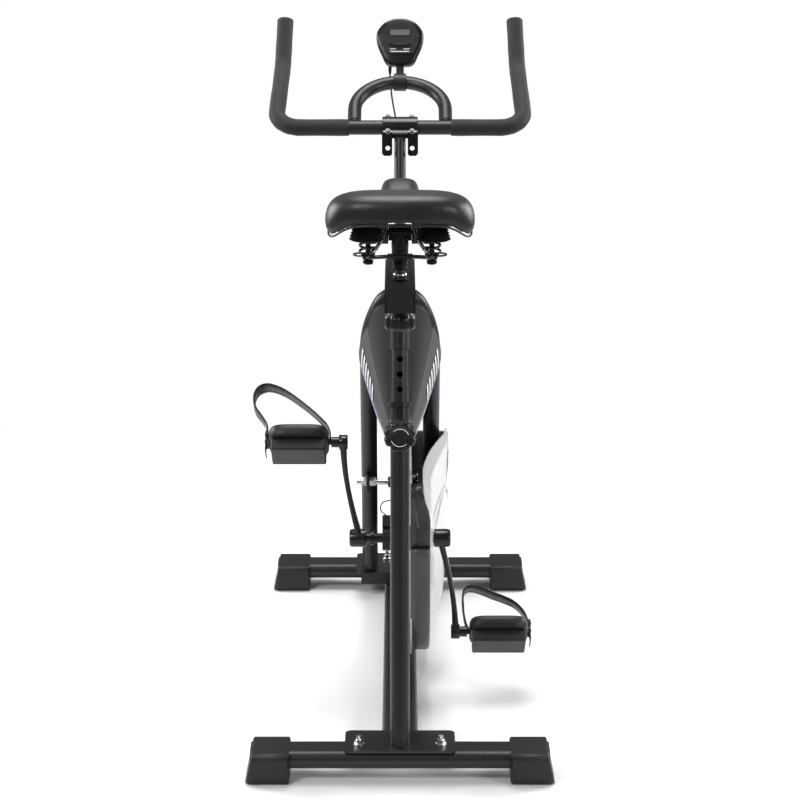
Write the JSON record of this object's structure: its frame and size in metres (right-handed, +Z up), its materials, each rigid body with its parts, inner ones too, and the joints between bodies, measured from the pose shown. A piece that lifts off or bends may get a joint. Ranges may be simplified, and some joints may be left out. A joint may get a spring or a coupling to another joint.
{
  "type": "exercise bike",
  "caption": "Upright spin bike: flywheel in a raked fork, belt guard, cranks and strapped pedals, sliding saddle, and a tall handlebar with a small monitor.",
  "frame": {"origin": "on the floor, midway between the two foot bars and between the bike's sides", "axes": "+X to the rider's right, +Y forwards, +Z up"},
  "size_m": [0.49, 0.942, 1.1066],
  "materials": {
    "frame_paint": "satin black powder coat",
    "fork_paint": "satin black powder coat",
    "black_plastic": "fine grain moulded plastic",
    "knob_plastic": "moulded knob plastic",
    "cover_plastic": "gloss panel with pale side face",
    "guard_white": "gloss white",
    "guard_grey": "dark grey",
    "zinc": "bright zinc",
    "steel": "turned steel",
    "wheel_iron": "painted cast iron with machined rim",
    "rubber": "black rubber",
    "foam": "foamed rubber",
    "vinyl": "stitched black vinyl",
    "strap": "moulded strap",
    "crank_paint": "gloss black",
    "lcd": "grey display window",
    "felt": "felt faced shoe"
  },
  "bodies": {
    "frame": {"foot_tubes": "frame_paint", "end_caps": "black_plastic", "foot_plates": "frame_paint", "frame_fasteners": "zinc", "bottom_tube": "frame_paint", "seat_tube": "frame_paint", "bracket_frame": "frame_paint", "bearing_cups": "steel", "main_tube": "frame_paint", "fork": "fork_paint", "post_bushes": "black_plastic", "cover_left": "cover_plastic", "cover_right": "cover_plastic", "guard_inner": "guard_white", "guard_outer": "guard_white", "guard_rear": "guard_grey", "guard_lower": "guard_grey", "flywheel_axle": "zinc", "speed_sensor": "black_plastic", "sensor_wire": "rubber", "drive_belt": "rubber"},
    "flywheel": {"flywheel": "wheel_iron", "flywheel_pulley": "steel"},
    "crankset": {"crank_spindle": "steel", "crank_pulley": "crank_paint", "crank_arm_left": "crank_paint", "crank_arm_right": "crank_paint", "pedal_axles": "steel"},
    "pedal_left": {"pedal_left": "black_plastic", "strap_left": "strap"},
    "pedal_right": {"pedal_right": "black_plastic", "strap_right": "strap"},
    "seat_post": {"seat_post": "frame_paint", "slider_bolt": "zinc"},
    "seat_pin": {"seat_pin": "zinc"},
    "seat_knob": {"seat_knob": "knob_plastic"},
    "slider": {"slider_tube": "frame_paint", "slider_caps": "black_plastic", "saddle_pillar": "frame_paint"},
    "slider_knob": {"slider_knob": "knob_plastic"},
    "saddle": {"saddle_clamp": "crank_paint", "saddle_rails": "crank_paint", "saddle_springs": "crank_paint", "saddle_base": "black_plastic", "saddle_pad": "vinyl"},
    "handlebar_post": {"handlebar_post": "frame_paint", "clamp_lower": "crank_paint", "clamp_upper": "crank_paint", "clamp_bolts": "zinc"},
    "post_knob": {"post_knob": "knob_plastic"},
    "handlebar": {"handlebar": "frame_paint", "handlebar_loop": "fork_paint", "foam_grips": "foam", "monitor_bracket": "black_plastic", "monitor_case": "black_plastic", "monitor_window": "lcd", "monitor_lead": "rubber"},
    "monitor_button": {"monitor_button": "black_plastic"},
    "tension_knob": {"tension_knob": "knob_plastic"},
    "brake_shoe": {"brake_shoe": "felt"}
  },
  "joints": [
    {"name": "flywheel_spin", "type": "hinge", "parent": "frame", "child": "flywheel", "pos_m": [0, 0.27057, 0.262], "axis": [1, 0, 0], "continuous": true},
    {"name": "crank_spin", "type": "hinge", "parent": "frame", "child": "crankset", "pos_m": [0, -0.1, 0.283], "axis": [1, 0, 0], "continuous": true},
    {"name": "pedal_left_spin", "type": "hinge", "parent": "crankset", "child": "pedal_left", "pos_m": [-0.17, -0.1, 0.453], "axis": [1, 0, 0], "continuous": true},
    {"name": "pedal_right_spin", "type": "hinge", "parent": "crankset", "child": "pedal_right", "pos_m": [0.17, -0.1, 0.113], "axis": [1, 0, 0], "continuous": true},
    {"name": "seat_post_slide", "type": "slide", "parent": "frame", "child": "seat_post", "axis": [0, 0.2672, 0.9636], "range_m": [-0.072, 0.048]},
    {"name": "seat_pin_pull", "type": "slide", "parent": "frame", "child": "seat_pin", "axis": [0, -1, 0], "range_m": [0, 0.01], "stiffness_N_per_m": 400, "springref_m": -0.01},
    {"name": "seat_knob_turn", "type": "hinge", "parent": "seat_pin", "child": "seat_knob", "pos_m": [0, -0.28022, 0.54], "axis": [0, -1, 0], "range_deg": [0, 360]},
    {"name": "saddle_slide", "type": "slide", "parent": "seat_post", "child": "slider", "axis": [0, 1, 0], "range_m": [-0.04, 0.04]},
    {"name": "slider_knob_turn", "type": "hinge", "parent": "seat_post", "child": "slider_knob", "pos_m": [0, -0.355, 0.74], "axis": [0, 0, -1], "range_deg": [0, 360]},
    {"name": "saddle_tilt", "type": "hinge", "parent": "slider", "child": "saddle", "pos_m": [0, -0.265, 0.846], "axis": [1, 0, 0], "range_deg": [-6, 6]},
    {"name": "handlebar_post_slide", "type": "slide", "parent": "frame", "child": "handlebar_post", "axis": [0, 0.309, 0.9511], "range_m": [-0.06, 0.06]},
    {"name": "post_knob_turn", "type": "hinge", "parent": "frame", "child": "post_knob", "pos_m": [0, 0.14631, 0.7139], "axis": [0, 0.9511, -0.309], "range_deg": [0, 360]},
    {"name": "handlebar_tilt", "type": "hinge", "parent": "handlebar_post", "child": "handlebar", "pos_m": [0, 0.21717, 0.932], "axis": [1, 0, 0], "range_deg": [-8, 8]},
    {"name": "monitor_button_press", "type": "slide", "parent": "handlebar", "child": "monitor_button", "axis": [0, 0.9063, -0.4226], "range_m": [0, 0.001], "stiffness_N_per_m": 300, "springref_m": -0.0005},
    {"name": "tension_knob_turn", "type": "hinge", "parent": "frame", "child": "tension_knob", "pos_m": [0, 0.16258, 0.3907], "axis": [0, -0.6428, 0.766], "range_deg": [0, 540]},
    {"name": "brake_shoe_slide", "type": "slide", "parent": "frame", "child": "brake_shoe", "axis": [0, 0.6428, -0.766], "range_m": [0, 0.0019]}
  ],
  "couplings": [
    {"joint": "crank_spin", "follows": "flywheel_spin", "ratio": 0.275},
    {"joint": "tension_knob_turn", "follows": "brake_shoe_slide", "rad_per_m": 4960}
  ]
}
